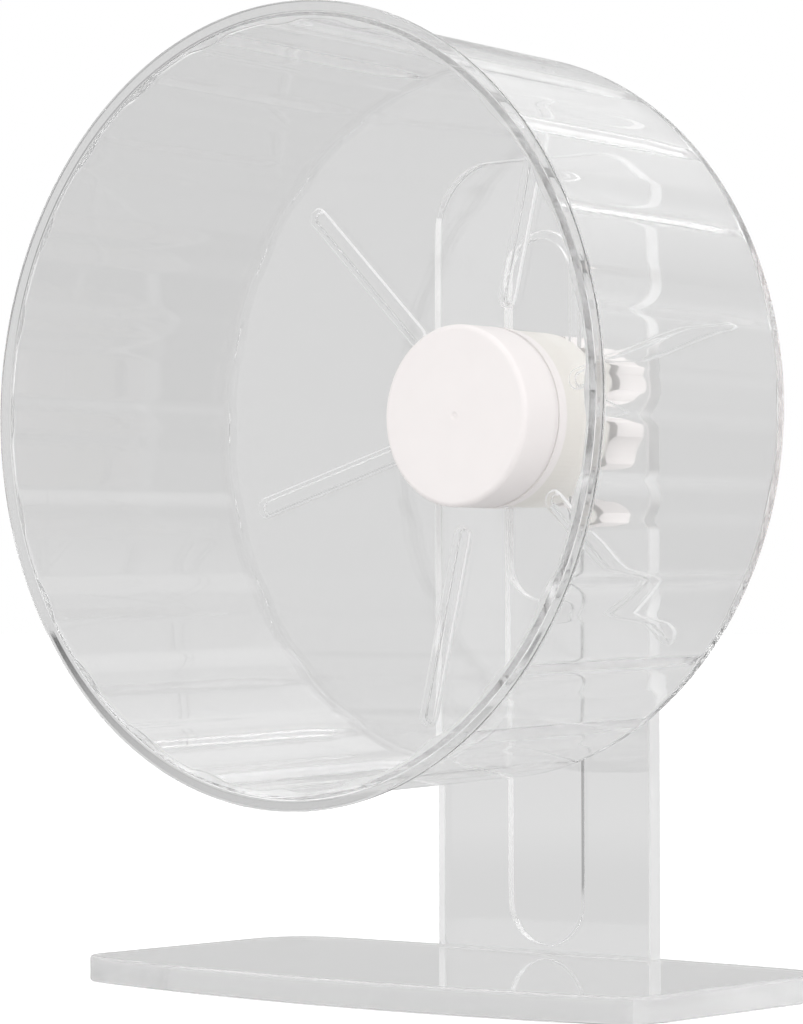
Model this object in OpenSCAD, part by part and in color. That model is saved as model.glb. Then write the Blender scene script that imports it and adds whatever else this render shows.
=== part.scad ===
// Clear hamster wheel on a height-adjustable slotted stand.
// +Z is up, +Y points from the open mouth to the back, and the wheel turns about Y.
// The origin is on the floor at the middle of the base.

/* [Wheel drum] */
// Outside diameter over the front lip
rim_d = 210; // [190:1:230]
// Depth from the front lip to the back of the disc
drum_depth = 86; // [74:1:96]
// Thickness of the lip along the front edge, measured along the axis
bead_d = 1.6; // [1.4:0.1:2.4]
// Rounding of the lip's edges
bead_round = 0.6; // [0.4:0.1:0.7]
// How far the lip stands out past the wall
bead_proud = 3.2; // [2.6:0.1:4]
// How much the wall's radius shrinks towards the back
wall_draft = 2.6; // [1:0.1:4]
// Thickness of the running wall
wall_t = 1.8; // [1.6:0.1:3]
// Thickness of the back disc
disc_t = 2.6; // [2.2:0.1:3.4]
// Fillet inside the corner of wall and disc
corner_r = 1.5; // [1:0.5:5]
// Number of grip ridges along the running wall
ridge_count = 24; // [16:1:30]
// Width of one grip ridge
ridge_w = 12; // [9:0.5:14]
// Height of one grip ridge
ridge_h = 1; // [0.6:0.1:1.4]
// Number of ribs embossed on the disc
rib_count = 6; // [4:1:8]
// Width of one embossed rib
rib_w = 6.4; // [5:0.2:8]
// Height of the emboss
rib_h = 1.2; // [0.8:0.1:1.4]
// Wall of the emboss between its front and its hollow back
rib_wall = 1.3; // [1:0.1:1.6]
// Distance of the ribs' inner ends from the axis
rib_in_r = 30.5; // [28:0.5:36]
// Distance of the ribs' outer ends from the running wall
rib_wall_gap = 9.5; // [6:0.5:14]
// Turn of the first rib above the horizontal
rib_angle = 16; // [0:1:60]

/* [Hub] */
// Outside diameter of the cap and of the flange behind the disc
hub_d = 50; // [46:1:56]
// Length of the cap in front of the disc
cap_len = 13.4; // [13:0.2:18]
// Wall of the cap
cap_wall = 2.4; // [1.8:0.1:3]
// Front wall of the cap
cap_front_t = 1.8; // [1.4:0.1:2.2]
// Rounding of the cap's front edge
cap_round = 1.6; // [1:0.1:1.8]
// Diameter of the moulding dimple at the middle of the cap
dimple_d = 4; // [2:0.5:6]
// Thickness of the flange behind the disc
flange_t = 3.2; // [3:0.1:4.4]
// How far the shoulder that the disc is cemented on is set in from the flange
shoulder_step = 0.5; // [0.4:0.1:1.2]
// Wall of the sleeve round the bearings
sleeve_wall = 3; // [2.4:0.1:3.4]
// Thickness of the lip that stops the front bearing
lip_t = 1.5; // [1:0.1:2]
// Number of hub screws
screw_count = 4; // [3:1:6]
// Diameter of the circle that the hub screws sit on
screw_pcd = 38; // [37:0.5:40]
// Shank diameter of a hub screw
screw_d = 3; // [2.5:0.1:3]
// Head diameter of a hub screw
screw_head_d = 5.5; // [5:0.1:6]
// Head height of a hub screw
screw_head_h = 1.8; // [1.5:0.1:1.9]
// Length of a hub screw below its head
screw_len = 11; // [9:0.5:12]
// Wall round a screw in the cap
boss_wall = 1.9; // [1.6:0.1:2]

/* [Bearings] */
// Bore of a bearing
bearing_id = 8; // [6:1:8]
// Outside diameter of a bearing
bearing_od = 22; // [21:0.5:22]
// Width of a bearing
bearing_w = 7; // [6.8:0.1:7.2]
// Number of balls in a bearing
ball_count = 7; // [6:1:7]
// Diameter of a ball
ball_d = 3.97; // [3.4:0.01:4]
// Radial thickness of a race
race_t = 2; // [1.8:0.1:2.2]
// Length of the spacer between the bearings
spacer_len = 1; // [0.6:0.1:1.4]
// Thickness of a bearing shield
shield_t = 0.35; // [0.25:0.05:0.5]

/* [Axle and clamp] */
// Length of the stand-off between the wheel and the upright
standoff_len = 18; // [14:0.5:24]
// Diameter of the stand-off
standoff_d = 49; // [45:0.5:54]
// Wall of the stand-off
standoff_wall = 2.4; // [2:0.1:3]
// Number of ribs inside the stand-off
standoff_ribs = 6; // [4:1:8]
// Diameter of the collar on the axle
collar_d = 11.6; // [10.6:0.2:12]
// How far the collar stands out of the stand-off
collar_proud = 0.9; // [0.7:0.1:1.2]
// Length of the collar
collar_len = 2.9; // [2.2:0.1:3.4]
// Thickness of the retaining ring
ring_t = 0.8; // [0.6:0.1:0.8]
// Radial width of the retaining ring
ring_w = 2.2; // [1.8:0.1:2.4]
// Depth of the axle's groove for the retaining ring
groove_depth = 0.25; // [0.2:0.05:0.4]
// Size across the flats of the axle nut
nut_af = 13; // [12:0.5:14]
// Thickness of the axle nut
nut_t = 3.8; // [3:0.1:4]
// Length of the key's straight sides
key_straight = 8; // [4:0.5:12]
// Depth of the slot that the key leaves free at the back
key_short = 0.6; // [0.4:0.1:1]
// Diameter of the clamp washer
washer_d = 40; // [34:1:44]
// Thickness of the clamp washer
washer_t = 1.2; // [1:0.1:2]
// Diameter of the clamp knob
knob_d = 48; // [44:1:54]
// Length of the clamp knob
knob_len = 14; // [13:0.5:18]
// Number of finger scallops round the knob
scallop_count = 8; // [6:1:10]
// Diameter of one finger scallop
scallop_d = 12; // [9:0.5:14]
// Depth of one finger scallop
scallop_depth = 2.4; // [1.5:0.1:3]
// Rounding of the knob's back edge
knob_round = 3; // [2:0.5:4]
// Outside diameter of the brass insert
insert_d = 12; // [11:0.5:14]
// Length of the brass insert
insert_len = 10; // [8:0.5:10.5]

/* [Stand] */
// Height of the wheel's axis above the base plate
axis_h = 148.6; // [145:0.5:160]
// Width of the upright
upright_w = 75.4; // [70:0.2:84]
// Thickness of the upright
upright_t = 5; // [4.5:0.1:6]
// Height of the upright above the base plate
upright_h = 222.4; // [218:0.2:240]
// Radius of the upright's top corners
upright_r = 20; // [10:0.5:26]
// Width of the height slot
slot_w = 21.5; // [20:0.1:22]
// Top end of the slot above the axis
slot_up = 51; // [49:0.5:54]
// Bottom end of the slot below the axis
slot_down = 50; // [49:0.5:54]
// Depth of the guide groove in the back, below the slot
groove_t = 2.6; // [1:0.1:3.2]
// Height of the guide groove's round end above the base plate
groove_foot = 2; // [1:0.5:20]
// Distance of the upright from the base's back edge
upright_inset = 2.9; // [2:0.1:8]
// Number of tenons in the upright's foot
tenon_count = 2; // [2:1:3]
// Width of one tenon
tenon_w = 16; // [10:0.5:18]
// Depth of the tenons in the base
tenon_depth = 5; // [3.5:0.1:5.5]
// Width of the base plate
base_w = 194; // [180:1:220]
// Depth of the base plate
base_depth = 103.4; // [96:0.2:120]
// Thickness of the base plate
base_t = 7.2; // [6.8:0.1:9]
// Bow of the base's front edge
front_bow = 11; // [6:0.5:14]
// Bow of the base's back edge
back_bow = 4; // [2:0.5:8]
// Radius of the base's front corners
front_corner_r = 10; // [6:0.5:16]
// Radius of the base's back corners
back_corner_r = 18; // [10:0.5:24]

/* [Fits] */
// Gap between pieces that turn past each other
run_gap = 0.6; // [0.5:0.1:0.8]
// Radial clearance of a shaft in a hole
shaft_play = 0.05; // [0.02:0.01:0.08]
// Gap between pieces that are pressed, cemented or screwed together
joint_play = 0.02; // [0.01:0.01:0.05]
// Clearance of the key in the slot on each side
key_play = 0.2; // [0.15:0.05:0.3]
// Clearance of the balls in their grooves and pockets
ball_play = 0.2; // [0.15:0.01:0.25]
// Clearance round a screw in its hole
screw_play = 0.2; // [0.15:0.05:0.3]

/* [Hidden] */
$fn = 96;

// Small overlap that makes a cut run clear through a face
cut = 1;

// Heights
axis_z = base_t + axis_h;

// Places along the axis, from the upright forwards
upright_y = base_depth / 2 - upright_inset - upright_t;
standoff_y = upright_y - joint_play - standoff_len;
hub_rear_y = standoff_y - run_gap;
disc_rear_y = hub_rear_y - flange_t - joint_play;
disc_front_y = disc_rear_y - disc_t;
cap_rear_y = disc_front_y - joint_play;
cap_front_y = cap_rear_y - cap_len;
cap_inner_y = cap_front_y + cap_front_t;
rim_y = disc_rear_y - drum_depth;
collar_y = standoff_y - collar_proud;
rear_bearing_y = collar_y - bearing_w;
spacer_y = rear_bearing_y - spacer_len;
front_bearing_y = spacer_y - bearing_w;
ring_y = front_bearing_y - ring_t - joint_play;
axle_tip = 0.6;
axle_front_y = ring_y - axle_tip;
lip_y = front_bearing_y - lip_t;

// Places along the axis, from the upright backwards
upright_back_y = upright_y + upright_t;
key_end_y = upright_back_y - key_short;
nut_y = key_end_y - nut_t;
washer_y = upright_back_y + shaft_play;
knob_y = washer_y + washer_t + shaft_play;
insert_y = knob_y + joint_play;
axle_back_y = insert_y + insert_len + axle_tip;
knob_pocket_y = axle_back_y + run_gap;

// Wheel drum radii
rim_r = rim_d / 2;
wall_front_r = rim_r - bead_proud;
wall_rear_r = wall_front_r - wall_draft;
wall_angle = atan(wall_draft / drum_depth);
inner_front_r = wall_front_r - wall_t;
inner_disc_r = inner_front_r - wall_draft * (drum_depth - disc_t) / drum_depth;
ridge_r = (pow(ridge_w / 2, 2) + pow(ridge_h, 2)) / (2 * ridge_h);
rib_out_r = inner_disc_r - rib_wall_gap;

// Hub, bearing and axle radii
hub_r = hub_d / 2;
shoulder_r = hub_r - shoulder_step;
bearing_r = bearing_od / 2;
axle_r = bearing_id / 2;
sleeve_bore_r = bearing_r + joint_play;
sleeve_r = sleeve_bore_r + sleeve_wall;
inner_race_r = axle_r + race_t;
outer_race_in_r = bearing_r - race_t;
pitch_r = (axle_r + bearing_r) / 2;
shield_r = outer_race_in_r + race_t / 3;
lip_in_r = bearing_r - race_t;
ring_r = axle_r - groove_depth + ring_w;
screw_r = screw_d / 2;
boss_r = screw_r + boss_wall;

// Key radius that fits the slot's round ends
key_r = slot_w / 2 - key_play;

// Puts a shape drawn along +Z on the wheel's axis, pointing backwards, from y onwards
module on_axis(y) translate([0, y, axis_z]) rotate([-90, 0, 0]) children();

// Plain ring along the axis
module ring(outer, inner, h) difference() {
    cylinder(r = outer, h = h);
    translate([0, 0, -cut]) cylinder(r = inner, h = h + 2 * cut);
}

// Upright stadium: round ends at z = low and z = high, thickness t along +Y
module stadium(r, low, high, t) {
    for (z = [low, high]) translate([0, 0, z]) rotate([-90, 0, 0]) cylinder(r = r, h = t);
    translate([-r, 0, low]) cube([2 * r, t, high - low]);
}

// Points of an arc about c
function arc(c, r, from, to, steps) =
    [for (i = [0:steps]) c + r * [cos(from + (to - from) * i / steps), sin(from + (to - from) * i / steps)]];

// Radius of a bowed edge that drops by bow over half the width
function bow_radius(half, bow) = (half * half + bow * bow) / (2 * bow);

// Half outline of a bowed edge with rounded corners, from the left corner to the right
function bowed_edge(half, reach, bow, corner) =
    let (radius = bow_radius(half, bow),
         centre = reach + radius,
         corner_y = centre - sqrt(pow(radius - corner, 2) - pow(half - corner, 2)),
         lean = asin((half - corner) / (radius - corner)))
    concat(arc([corner - half, corner_y], corner, 180, 270 - lean, 8),
           arc([0, centre], radius, 270 - lean, 270 + lean, 24),
           arc([half - corner, corner_y], corner, 270 + lean, 360, 8));

// Wheel drum, drawn with its mouth at z = 0

// Wall, disc and the fillet in their corner
module drum_profile() {
    outer_r = corner_r + wall_t / 2;
    edge_in_r = inner_front_r + bead_round;
    edge_out_r = rim_r - bead_round;
    edge_back = bead_d - bead_round;
    rotate_extrude() union() {
        translate([edge_in_r, 0]) square([edge_out_r - edge_in_r, bead_d]);
        translate([inner_front_r, bead_round]) square([rim_r - inner_front_r, edge_back - bead_round]);
        for (p = [[edge_in_r, bead_round], [edge_out_r, bead_round], [edge_out_r, edge_back]])
            translate(p) circle(r = bead_round);
        polygon(concat(
            [[inner_front_r, bead_d / 2], [wall_front_r, bead_d / 2]],
            arc([wall_rear_r - outer_r, drum_depth - outer_r], outer_r, 0, 90, 6),
            [[0, drum_depth], [0, drum_depth - disc_t]],
            arc([inner_disc_r - corner_r, drum_depth - disc_t - corner_r], corner_r, 90, 0, 6)));
    }
}

// Rounded ridges that follow the draft of the wall, kept inside its outer face
module grip_ridges() intersection() {
    start_z = (bead_round + bead_d / 2) / 2;
    skin = wall_t / 2;
    translate([0, 0, start_z])
        cylinder(r1 = wall_front_r - skin, r2 = wall_rear_r - skin, h = drum_depth - start_z - disc_t / 2);
    for (i = [0:ridge_count - 1])
        rotate([0, 0, i * 360 / ridge_count])
        translate([inner_front_r - ridge_h + ridge_r, 0, 0])
        rotate([0, -wall_angle, 0])
        cylinder(r = ridge_r, h = drum_depth);
}

// Flat stadium along +X, from radius a to radius b
module rib_stadium(w, a, b, h) {
    for (x = [a + w / 2, b - w / 2]) translate([x, 0, 0]) cylinder(d = w, h = h);
    translate([a + w / 2, -w / 2, 0]) cube([b - a - w, w, h]);
}

module at_ribs() for (i = [0:rib_count - 1]) rotate([0, 0, i * 360 / rib_count - rib_angle]) children();

module at_screws() for (i = [0:screw_count - 1])
    rotate([0, 0, (i + 0.5) * 360 / screw_count]) translate([screw_pcd / 2, 0, 0]) children();

module drum() color("#e6e9ea", 0.35) on_axis(rim_y) {
    disc_z = drum_depth - disc_t;
    difference() {
        union() {
            drum_profile();
            grip_ridges();
            at_ribs() translate([0, 0, disc_z - rib_h])
                rib_stadium(rib_w, rib_in_r, rib_out_r, rib_h + disc_t / 2);
        }
        at_ribs() translate([0, 0, drum_depth - rib_h])
            rib_stadium(rib_w - 2 * rib_wall, rib_in_r + rib_wall, rib_out_r - rib_wall, rib_h + cut);
        translate([0, 0, disc_z - cut]) cylinder(r = shoulder_r + joint_play, h = disc_t + 2 * cut);
    }
}

// Hub

module hub_cap() color("#f1eeec") on_axis(cap_front_y) difference() {
    union() {
        difference() {
            rotate_extrude() union() {
                translate([0, cap_round]) square([hub_r, cap_len - cap_round]);
                square([hub_r - cap_round, cap_round + joint_play]);
                translate([hub_r - cap_round, cap_round]) circle(r = cap_round);
            }
            translate([0, 0, cap_front_t]) cylinder(r = hub_r - cap_wall, h = cap_len);
        }
        at_screws() translate([0, 0, cap_front_t / 2]) cylinder(r = boss_r, h = cap_len - cap_front_t / 2);
    }
    at_screws() translate([0, 0, cap_front_t + run_gap]) cylinder(r = screw_r + joint_play, h = cap_len);
    sphere_r = 2 * dimple_d;
    translate([0, 0, -sqrt(pow(sphere_r, 2) - pow(dimple_d / 2, 2))]) sphere(r = sphere_r);
}

// Bearing sleeve with a flange behind the disc, and a shoulder that fills the disc's hole
module hub_shell() color("#eeebe8") on_axis(lip_y) {
    total = hub_rear_y - lip_y;
    head_z = total - screw_head_h - joint_play;
    shoulder_z = disc_front_y - lip_y;
    difference() {
        union() {
            cylinder(r = sleeve_r, h = total);
            translate([0, 0, shoulder_z]) cylinder(r = shoulder_r, h = total - flange_t / 2 - shoulder_z);
            translate([0, 0, total - flange_t]) cylinder(r = hub_r, h = flange_t);
        }
        translate([0, 0, lip_t]) cylinder(r = sleeve_bore_r, h = total);
        translate([0, 0, -cut]) cylinder(r = lip_in_r, h = total);
        at_screws() translate([0, 0, shoulder_z - cut])
            cylinder(r = screw_r + screw_play, h = total - shoulder_z + 2 * cut);
        at_screws() translate([0, 0, head_z])
            cylinder(r = screw_head_d / 2 + screw_play, h = screw_head_h + cut);
    }
}

module hub_screws() color("#c9ccd0") on_axis(hub_rear_y) at_screws() difference() {
    recess = screw_head_d * 0.6;
    recess_w = screw_head_d * 0.16;
    union() {
        translate([0, 0, -screw_head_h]) cylinder(d = screw_head_d, h = screw_head_h);
        translate([0, 0, -screw_head_h - screw_len]) cylinder(r = screw_r, h = screw_len + screw_head_h / 2);
    }
    for (turn = [0, 90]) rotate([0, 0, turn])
        translate([-recess / 2, -recess_w / 2, -screw_head_h / 2]) cube([recess, recess_w, screw_head_h]);
}

// Bearings

// Race with a ball groove round the pitch circle
module race(outer, inner) rotate_extrude() difference() {
    translate([inner, 0]) square([outer - inner, bearing_w]);
    translate([pitch_r, bearing_w / 2]) circle(d = ball_d + 2 * ball_play);
}

// Outer race with a step at each end that the shields sit in
module outer_race() difference() {
    race(bearing_r, outer_race_in_r);
    for (z = [-cut, bearing_w - 2 * shield_t])
        translate([0, 0, z]) cylinder(r = shield_r, h = 2 * shield_t + cut);
}

module inner_race() race(inner_race_r, axle_r + joint_play);

module balls() for (i = [0:ball_count - 1])
    rotate([0, 0, i * 360 / ball_count]) translate([pitch_r, 0, bearing_w / 2]) sphere(d = ball_d, $fn = 32);

// Moulded cage: a ring with a round pocket for each ball
module cage() {
    cage_w = bearing_w - 4 * shield_t - 2 * ball_play;
    cage_t = (outer_race_in_r - inner_race_r) / 3;
    difference() {
        translate([0, 0, (bearing_w - cage_w) / 2]) ring(pitch_r + cage_t / 2, pitch_r - cage_t / 2, cage_w);
        for (i = [0:ball_count - 1])
            rotate([0, 0, i * 360 / ball_count]) translate([pitch_r - race_t, 0, bearing_w / 2])
            rotate([0, 90, 0]) cylinder(d = ball_d + 2 * ball_play, h = 2 * race_t);
    }
}

module shields() for (z = [shield_t - joint_play, bearing_w - 2 * shield_t + joint_play])
    translate([0, 0, z]) ring(shield_r - joint_play, inner_race_r + run_gap / 2, shield_t);

module front_bearing_outer_race() color("#b9bcc0") on_axis(front_bearing_y) outer_race();
module front_bearing_inner_race() color("#b4b7bb") on_axis(front_bearing_y) inner_race();
module front_bearing_balls() color("#d5d8db") on_axis(front_bearing_y) balls();
module front_bearing_cage() color("#d8c9a4") on_axis(front_bearing_y) cage();
module front_bearing_shields() color("#c4c7ca") on_axis(front_bearing_y) shields();
module rear_bearing_outer_race() color("#b9bcc0") on_axis(rear_bearing_y) outer_race();
module rear_bearing_inner_race() color("#b4b7bb") on_axis(rear_bearing_y) inner_race();
module rear_bearing_balls() color("#d5d8db") on_axis(rear_bearing_y) balls();
module rear_bearing_cage() color("#d8c9a4") on_axis(rear_bearing_y) cage();
module rear_bearing_shields() color("#c4c7ca") on_axis(rear_bearing_y) shields();

module bearing_spacer() color("#a9adb2") on_axis(spacer_y) ring(inner_race_r, axle_r + joint_play, spacer_len);

// Axle and clamp

module axle() color("#aeb2b7") on_axis(axle_front_y) {
    total = axle_back_y - axle_front_y;
    edge = axle_tip * 0.6;
    difference() {
        union() {
            rotate_extrude() polygon([[0, 0], [axle_r - edge, 0], [axle_r, edge], [axle_r, total - edge],
                                      [axle_r - edge, total], [0, total]]);
            translate([0, 0, collar_y - axle_front_y]) cylinder(d = collar_d, h = collar_len);
        }
        translate([0, 0, axle_tip]) ring(axle_r + cut, axle_r - groove_depth, ring_t + joint_play);
    }
}

// Open ring that snaps into the axle's groove
module retaining_ring() color("#6f7378") on_axis(ring_y) difference() {
    mouth = axle_r;
    ring(ring_r, axle_r - groove_depth + joint_play, ring_t);
    translate([0, -mouth / 2, -cut]) cube([2 * ring_r, mouth, ring_t + 2 * cut]);
}

// Moulded cup with a ribbed core, and a key at the back that slides in the slot
module standoff() color("#f0e8d8") difference() {
    front_t = collar_len - collar_proud + standoff_wall;
    core_r = nut_af / 2 + standoff_wall;
    key_root = standoff_wall * 2;
    union() {
        on_axis(standoff_y) {
            difference() {
                cylinder(d = standoff_d, h = standoff_len);
                translate([0, 0, front_t]) cylinder(d = standoff_d - 2 * standoff_wall, h = standoff_len);
            }
            cylinder(r = core_r, h = standoff_len - key_root / 2);
            for (i = [0:standoff_ribs - 1]) rotate([0, 0, (i + 0.5) * 360 / standoff_ribs])
                translate([0, -standoff_wall / 3, front_t / 2])
                cube([standoff_d / 2 - standoff_wall / 2, standoff_wall * 2 / 3, standoff_len - front_t]);
        }
        translate([0, upright_y - key_root, axis_z])
            stadium(key_r, -key_straight / 2, key_straight / 2, key_end_y - upright_y + key_root);
    }
    on_axis(standoff_y - cut) {
        cylinder(r = axle_r + joint_play, h = standoff_len + upright_t + 2 * cut);
        cylinder(d = collar_d + 2 * joint_play, h = collar_len - collar_proud + cut);
    }
    on_axis(nut_y) cylinder(d = (nut_af + 2 * joint_play) / cos(30), h = nut_t + cut, $fn = 6);
}

module axle_nut() color("#b7babd") on_axis(nut_y) difference() {
    cylinder(d = nut_af / cos(30), h = nut_t - joint_play, $fn = 6);
    translate([0, 0, -cut]) cylinder(r = axle_r + joint_play, h = nut_t + 2 * cut);
}

module clamp_washer() color("#c2c5c8") on_axis(washer_y) ring(washer_d / 2, axle_r + shaft_play, washer_t);

// Round knob with finger scallops and a pocket for the brass insert
module clamp_knob() color("#efedea") on_axis(knob_y) difference() {
    knob_r = knob_d / 2;
    rotate_extrude() union() {
        square([knob_r, knob_len - knob_round]);
        square([knob_r - knob_round, knob_len]);
        translate([knob_r - knob_round, knob_len - knob_round]) circle(r = knob_round);
    }
    for (i = [0:scallop_count - 1]) rotate([0, 0, (i + 0.5) * 360 / scallop_count])
        translate([knob_r - scallop_depth + scallop_d / 2, 0, -cut])
        cylinder(d = scallop_d, h = knob_len + 2 * cut);
    translate([0, 0, -cut])
        cylinder(d = insert_d + 2 * joint_play, h = insert_len + insert_y - knob_y + joint_play + cut);
    translate([0, 0, -cut]) cylinder(r = axle_r + shaft_play, h = knob_pocket_y - knob_y + cut);
}

module knob_insert() color("#c9a24c") on_axis(insert_y) ring(insert_d / 2, axle_r + shaft_play, insert_len);

// Stand

// Places of the tenons across the upright
function tenon_x(i) = (i + 0.5) * upright_w / tenon_count - upright_w / 2;

module upright() color("#e6e9ea", 0.35) difference() {
    corner_x = upright_w / 2 - upright_r;
    end_r = slot_w / 2;
    top_z = base_t + upright_h;
    union() {
        translate([-upright_w / 2, upright_y, base_t]) cube([upright_w, upright_t, upright_h - upright_r]);
        translate([-corner_x, upright_y, base_t]) cube([2 * corner_x, upright_t, upright_h]);
        for (side = [-1, 1]) translate([side * corner_x, upright_y, top_z - upright_r])
            rotate([-90, 0, 0]) cylinder(r = upright_r, h = upright_t);
        for (i = [0:tenon_count - 1]) translate([tenon_x(i) - tenon_w / 2, upright_y, base_t - tenon_depth])
            cube([tenon_w, upright_t, tenon_depth + cut]);
    }
    translate([0, upright_y - cut, axis_z])
        stadium(end_r, end_r - slot_down, slot_up - end_r, upright_t + 2 * cut);
    translate([0, upright_back_y - groove_t, axis_z])
        stadium(end_r, groove_foot + end_r - axis_h, end_r - slot_down, groove_t + cut);
}

module base() color("#e9ebec", 0.35) difference() {
    half_w = base_w / 2;
    front = bowed_edge(half_w, -base_depth / 2, front_bow, front_corner_r);
    back = bowed_edge(half_w, -base_depth / 2, back_bow, back_corner_r);
    linear_extrude(base_t) polygon(concat(front, [for (p = back) -p]));
    for (i = [0:tenon_count - 1])
        translate([tenon_x(i) - tenon_w / 2, upright_y, base_t - tenon_depth] - joint_play * [1, 1, 1])
        cube([tenon_w + 2 * joint_play, upright_t + 2 * joint_play, tenon_depth + cut]);
}

drum();
hub_cap();
hub_shell();
hub_screws();
front_bearing_outer_race();
front_bearing_inner_race();
front_bearing_balls();
front_bearing_cage();
front_bearing_shields();
rear_bearing_outer_race();
rear_bearing_inner_race();
rear_bearing_balls();
rear_bearing_cage();
rear_bearing_shields();
bearing_spacer();
axle();
retaining_ring();
standoff();
axle_nut();
clamp_washer();
clamp_knob();
knob_insert();
upright();
base();
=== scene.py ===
"""Clear hamster wheel on a slotted stand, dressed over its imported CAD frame.

Sizes in the classes are millimetres in the CAD frame: +Z up, +Y from the open mouth to the back.
Finished points are turned into metres once, in put_mesh().
"""

import logging
import math
from dataclasses import dataclass, field
from enum import Enum, IntEnum

import bmesh
import bpy
import numpy as np
from mathutils import Matrix, Vector


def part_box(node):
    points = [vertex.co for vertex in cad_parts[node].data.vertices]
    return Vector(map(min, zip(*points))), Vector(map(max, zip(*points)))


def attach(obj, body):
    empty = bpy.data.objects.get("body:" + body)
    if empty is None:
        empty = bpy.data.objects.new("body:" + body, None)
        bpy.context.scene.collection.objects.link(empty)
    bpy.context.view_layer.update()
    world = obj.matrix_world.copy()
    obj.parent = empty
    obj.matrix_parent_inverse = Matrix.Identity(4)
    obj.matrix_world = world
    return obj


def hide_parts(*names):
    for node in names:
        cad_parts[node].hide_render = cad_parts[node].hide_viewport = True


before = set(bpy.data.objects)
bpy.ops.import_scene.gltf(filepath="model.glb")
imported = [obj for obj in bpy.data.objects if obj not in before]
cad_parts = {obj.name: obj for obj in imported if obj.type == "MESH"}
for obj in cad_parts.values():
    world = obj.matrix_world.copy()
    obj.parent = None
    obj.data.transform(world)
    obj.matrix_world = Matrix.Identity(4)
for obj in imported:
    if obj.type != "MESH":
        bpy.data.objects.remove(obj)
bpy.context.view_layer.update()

MM = 0.001
TAU = 2 * math.pi
# Keeps a division off zero, welds doubled points, and holds a smooth face flat beside a rounded corner.
TINY = 1e-9
WELD_M = 2e-6
SUPPORT_MM = 0.25
LOG = logging.getLogger("hamster_wheel")


class Body(Enum):
    """Rigid bodies of the frame that new pieces ride on."""

    STAND = "stand"
    WHEEL = "wheel"


class Slot(Enum):
    """Material slots of the record; each new piece names one."""

    CLEAR_DRUM = "clear_drum"
    CLEAR_PLATE = "clear_plate"
    WHITE_PLASTIC = "white_plastic"


class DrumFace(IntEnum):
    """Material numbers of the drum's faces."""

    MOULDED = 0
    # Rib slopes frosted white: a painted highlight.
    RIB_PAINTED_HIGHLIGHT = 1
    # Mouth's inner strip frosted pale: a painted highlight.
    MOUTH_PAINTED_HIGHLIGHT = 2
    # Rim's front tinted grey: painted shade.
    RIM_PAINTED_SHADE = 3


class PlateFace(IntEnum):
    """Material numbers of the upright's faces."""

    CAST = 0
    # Left edge frosted white as painted light; the other edges frosted less as painted shade.
    LEFT_EDGE_PAINTED_LIGHT = 1
    EDGES_PAINTED_SHADE = 2


# Colours and node trees


def linear(hex_colour: str) -> tuple[float, float, float, float]:
    """Turns an sRGB hex colour into linear light by the standard's curve.

    Args:
        hex_colour: Six hex digits after a hash sign.

    Returns:
        Linear red, green, blue and an alpha of 1.
    """
    srgb = np.array([int(hex_colour[i:i + 2], 16) for i in (1, 3, 5)]) / 255
    light = np.where(srgb <= 0.04045, srgb / 12.92, ((srgb + 0.055) / 1.055) ** 2.4)
    return (*light.tolist(), 1.0)


def add_node(tree: bpy.types.NodeTree, kind: str, inputs: dict | None = None,
             **settings: object) -> bpy.types.Node:
    """Adds one node with its settings and links.

    Args:
        tree: Node tree that gets the node.
        kind: Blender's type name of the node.
        inputs: Input name or index to a value, or to an output socket that is linked to it.
        **settings: Properties of the node itself.

    Returns:
        The new node.
    """
    node = tree.nodes.new(kind)
    for name, value in settings.items():
        setattr(node, name, value)
    for name, value in (inputs or {}).items():
        if isinstance(value, bpy.types.NodeSocket):
            tree.links.new(value, node.inputs[name])
        else:
            node.inputs[name].default_value = value
    return node


def rise(tree: bpy.types.NodeTree, direction: bpy.types.NodeSocket, towards: tuple[float, float, float],
         low: float, high: float) -> bpy.types.NodeSocket:
    """Rises smoothly from 0 to 1 as a direction turns towards another.

    Args:
        tree: Node tree of the world or the floor.
        direction: Direction that is judged.
        towards: Direction where the value is 1.
        low: Cosine between the two where the rise begins.
        high: Cosine where it ends.

    Returns:
        The socket of the value.
    """
    turn = add_node(tree, "ShaderNodeVectorMath", {0: direction, 1: towards}, operation="DOT_PRODUCT")
    span = {"Value": turn.outputs["Value"], "From Min": low, "From Max": high}
    return add_node(tree, "ShaderNodeMapRange", span, interpolation_type="SMOOTHSTEP").outputs[0]


def new_material(name: str) -> tuple[bpy.types.Material, bpy.types.NodeTree, bpy.types.NodeSocket]:
    """Starts a material with an output and Object coordinates.

    Args:
        name: Name of the real material and how it was made.

    Returns:
        The material, its empty tree but for those two nodes, and the coordinate socket.
    """
    material = bpy.data.materials.new(name)
    material.use_nodes = True
    tree = material.node_tree
    tree.nodes.clear()
    add_node(tree, "ShaderNodeOutputMaterial")
    return material, tree, add_node(tree, "ShaderNodeTexCoord").outputs["Object"]


def close_material(tree: bpy.types.NodeTree, shader: bpy.types.Node) -> None:
    """Links a shader node to the material output of its tree."""
    output = next(n for n in tree.nodes if n.type == "OUTPUT_MATERIAL")
    tree.links.new(shader.outputs[0], output.inputs["Surface"])


def per_metre(size_mm: float) -> float:
    """Texture scale that gives features of a size in millimetres on metre coordinates."""
    return 1 / (size_mm * MM)


# Finishes


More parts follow.
